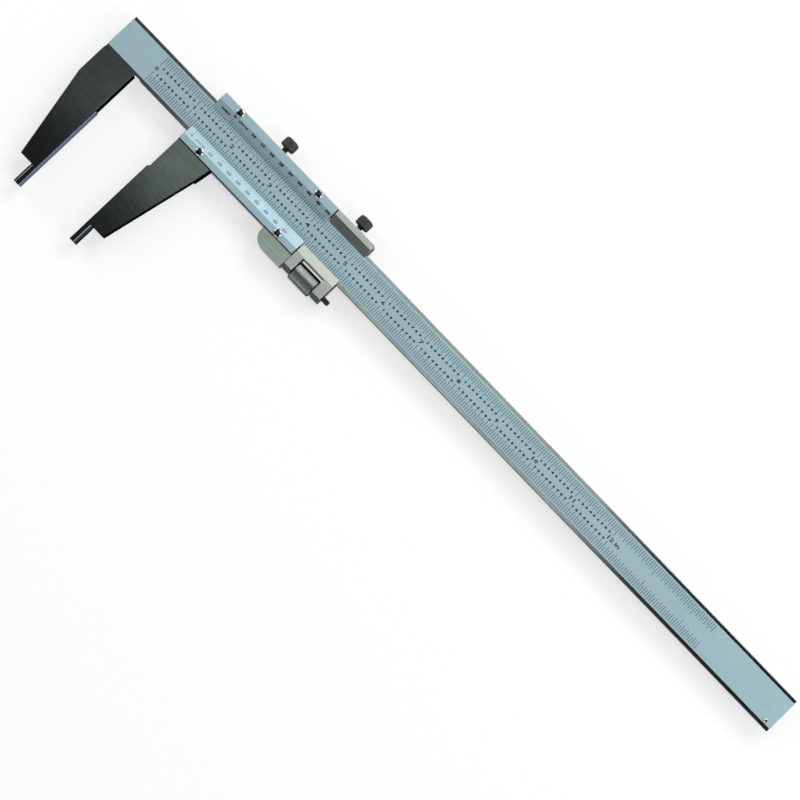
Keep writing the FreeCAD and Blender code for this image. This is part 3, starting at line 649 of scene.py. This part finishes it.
def makeText(name, labels, surface, body, weight):
    # every label is (text, x, y, height); all of them become one piece
    points, faces, count = [], [], 0
    for text, x, y, height in labels:
        outline, sides = glyph(text, weight)
        points.append(outline * (height, height, 1) + (x, y, 0))
        faces += [[i + count for i in side] for side in sides]
        count += len(outline)
    return makePiece(name, onto(np.concatenate(points), surface), faces, body, "scale_ink")


# main scale: twentieths of an inch along both edges of the land, with tenths numbered in two rows
scale = {"zero": 4.93, "lines": 291, "step": 0.05, "lineWidth": 0.27, "fromCentre": 7.55,
         "short": 3.25, "tenth": 4.3, "whole": 5.6, "digitRows": (2.0, -2.15), "digit": 1.1,
         "digitWeight": 0.1, "numeral": 2.1, "numeralWeight": 0.032, "lastNumeral": 12, "unitPast": 4.7}
zero = measuringFace + scale["zero"] * mm
count = np.arange(scale["lines"])
places = zero + count * scale["step"] * inch
length = np.where(count % 2 == 0, scale["tenth"], scale["short"]) * mm
length = np.where(count % 20 == 0, scale["whole"] * mm, length)
outerEnd = np.full(len(count), scale["fromCentre"] * mm)
width = scale["lineWidth"] * mm


def flatLand(y):
    return np.full(y.shape, landTop)


makeLines("beamGraduations", [
    lineRow(places, centreLine + side * outerEnd, centreLine + side * (outerEnd - length), width)
    for side in (1, -1)
], flatLand, "beam")
digits = [
    (str(tenth), zero + (whole + tenth / 10) * inch, centreLine + row * mm, scale["digit"] * mm)
    for whole in range(scale["lastNumeral"]) for tenth in range(1, 10) for row in scale["digitRows"]
]
makeText("beamTenthDigits", digits, flatLand, "beam", scale["digitWeight"])
numerals = [
    (str(whole), zero + whole * inch, centreLine, scale["numeral"] * mm)
    for whole in range(scale["lastNumeral"] + 1)
]
unitPlace = zero + scale["lastNumeral"] * inch + scale["unitPast"] * mm
numerals.append(("in", unitPlace, centreLine, scale["numeral"] * mm))
makeText("beamInchNumerals", numerals, flatLand, "beam", scale["numeralWeight"])

# vernier scales: 50 divisions of 0.049 in on the sloping face of each plate
vernier = {"step": 0.049, "divisions": 50, "lineWidth": 0.22, "edgeGap": 0.05, "short": 1.6, "fifth": 2.5,
           "digit": 1.3, "weight": 0.08, "word": 0.85, "unitPast": 5.6, "wordBefore": 5.0, "wordDrop": 1.3,
           "thin": 0.25}
plates = {
    "upper": {"node": "upper_vernier_plate", "flat": 4.0, "side": 1, "zero": 10.85, "text": 3.95,
              "word": "INSIDE", "ink": materials["scale_ink"]},
    # the lower plate's ink is the painted sheen copy
    "lower": {"node": "lower_vernier_plate", "flat": 3.1, "side": -1, "zero": 3.23, "text": 3.3,
              "word": None, "ink": paintedSheenInk},
}
for level, plate in plates.items():
    low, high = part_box(plate["node"])
    side = plate["side"]
    inner, outer = (low.y, high.y) if side > 0 else (high.y, low.y)
    crease = outer - side * plate["flat"] * mm
    thin = low.z + vernier["thin"] * mm

    def slope(y, inner=inner, crease=crease, thin=thin, top=high.z):
        # straight from the thin inner edge up to the crease, then flat
        return thin + (top - thin) * np.clip((y - inner) / (crease - inner), 0, 1)

    start = low.x + plate["zero"] * mm
    count = np.arange(vernier["divisions"] + 1)
    ends = np.where(count % 5 == 0, vernier["fifth"], vernier["short"]) * mm
    edge = np.full(len(count), inner + side * vernier["edgeGap"] * mm)
    places = start + count * vernier["step"] * inch
    bars = lineRow(places, edge, inner + side * ends, vernier["lineWidth"] * mm)
    # each corner takes the face's height at its own place, so the bars slope with it
    lines = makeLines(level + "VernierGraduations", [bars], slope, "slider")
    textLine = inner + side * plate["text"] * mm
    # the unit stands where the 5 would be
    labels = [
        (str(k), start + k * vernier["step"] * inch, textLine, vernier["digit"] * mm)
        for k in (0, *range(10, vernier["divisions"] + 1, 5))
    ]
    labels.append(("(.001 in)", start + vernier["unitPast"] * mm, textLine, vernier["word"] * mm))
    if plate["word"]:
        place, line = start - vernier["wordBefore"] * mm, textLine - vernier["wordDrop"] * mm
        labels.append((plate["word"], place, line, vernier["word"] * mm))
    numbers = makeText(level + "VernierNumbers", labels, slope, "slider", vernier["weight"])
    for piece in (lines, numbers):
        piece.data.materials[0] = plate["ink"]
print("scales engraved")

# pale floor that glows a little, so that shadows stay faint
stage = {"reach": 4.0, "below": 0.1, "dark": (0.36, 0.36, 0.36), "light": (0.39, 0.39, 0.39), "glow": 0.62}
floor = bpy.data.meshes.new("floor")
reach, under = stage["reach"], cadLow.z - stage["below"] * mm
corners = [(-reach, -reach, under), (reach, -reach, under), (reach, reach, under), (-reach, reach, under)]
floor.from_pydata(corners, [], [(0, 1, 2, 3)])
floorObject = bpy.data.objects.new("floor", floor)
bpy.context.scene.collection.objects.link(floorObject)
paper = bpy.data.materials.new("paleFloor")
paper.use_nodes = True
tree = paper.node_tree
shader = next(n for n in tree.nodes if n.type == "BSDF_PRINCIPLED")
place = addNode(tree, "TexCoord").outputs["Object"]
fibre = addNode(tree, "TexNoise", {"Vector": place, "Scale": 260.0, "Detail": 3.0}).outputs[0]
tree.links.new(mix(tree, fibre, stage["dark"], stage["light"]), shader.inputs["Base Color"])
shader.inputs["Roughness"].default_value = 0.9
shader.inputs["Specular IOR Level"].default_value = 0.1
shader.inputs["Emission Color"].default_value = (1.0, 1.0, 1.0, 1.0)
shader.inputs["Emission Strength"].default_value = stage["glow"]
floor.materials.append(paper)

# soft studio: bright round the horizon and dark overhead, with panels of light above the beam
studio = {"horizon": 0.95, "overhead": 0.02, "turnOver": (0.2, 0.72), "turnSide": (-0.6, -0.1),
          "jawSide": 0.22}
world = bpy.data.worlds.new("studio")
bpy.context.scene.world = world
world.use_nodes = True
tree = world.node_tree
tree.nodes.clear()
direction = addNode(tree, "TexCoord").outputs["Generated"]
away = addNode(tree, "SeparateXYZ", {0: direction})
strength = remap(tree, away.outputs["Z"], *studio["turnOver"], studio["horizon"], studio["overhead"])
# the side that the jaws point to is darker
shade = remap(tree, away.outputs["Y"], *studio["turnSide"], studio["jawSide"], 1.0)
strength = addNode(tree, "Math", {0: strength, 1: shade}, operation="MULTIPLY").outputs[0]
background = addNode(tree, "Background", {"Color": (0.97, 0.985, 1.0, 1.0), "Strength": strength})
surface = addNode(tree, "OutputWorld")
tree.links.new(background.outputs[0], surface.inputs["Surface"])

panels = {
    # place along and across the beam and height, width and depth in metres, brightness;
    # a panel that doesn't face straight down is aimed at the beam
    "overhead": {"place": (0.19, 0.19, 0.84), "size": (0.46, 0.50), "brightness": 0.85, "down": True},
    "nearJaws": {"place": (-0.10, 0.15, 0.84), "size": (0.12, 0.34), "brightness": 0.33, "down": True},
    "pastJaws": {"place": (-0.22, 0.15, 0.84), "size": (0.12, 0.34), "brightness": 0.12, "down": True},
    "pastCarriage": {"place": (0.49, 0.19, 0.84), "size": (0.14, 0.50), "brightness": 0.025, "down": True},
    "key": {"place": (0.25, 1.05, 0.95), "size": (1.2, 0.6), "brightness": 6.0, "down": False},
    "fill": {"place": (0.2, -1.2, 0.6), "size": (1.2, 0.5), "brightness": 2.0, "down": False},
    "farEnd": {"place": (1.35, 0.1, 0.85), "size": (0.5, 1.0), "brightness": 4.5, "down": False},
    "jawEnd": {"place": (-0.95, 0.1, 0.7), "size": (0.5, 1.0), "brightness": 3.0, "down": False},
}
panelAim = 0.2
for name, panel in panels.items():
    light = bpy.data.lights.new(name, "AREA")
    light.shape = "RECTANGLE"
    light.size, light.size_y = panel["size"]
    light.energy = panel["brightness"] * math.pi * light.size * light.size_y
    lamp = bpy.data.objects.new(name, light)
    x, y, z = panel["place"]
    lamp.location = (measuringFace + x, centreLine + y, z)
    if not panel["down"]:
        towards = Vector((measuringFace + panelAim, centreLine, 0)) - lamp.location
        lamp.rotation_euler = towards.to_track_quat("-Z", "Y").to_euler()
    lamp.visible_camera = False
    bpy.context.scene.collection.objects.link(lamp)
print("studio lit")
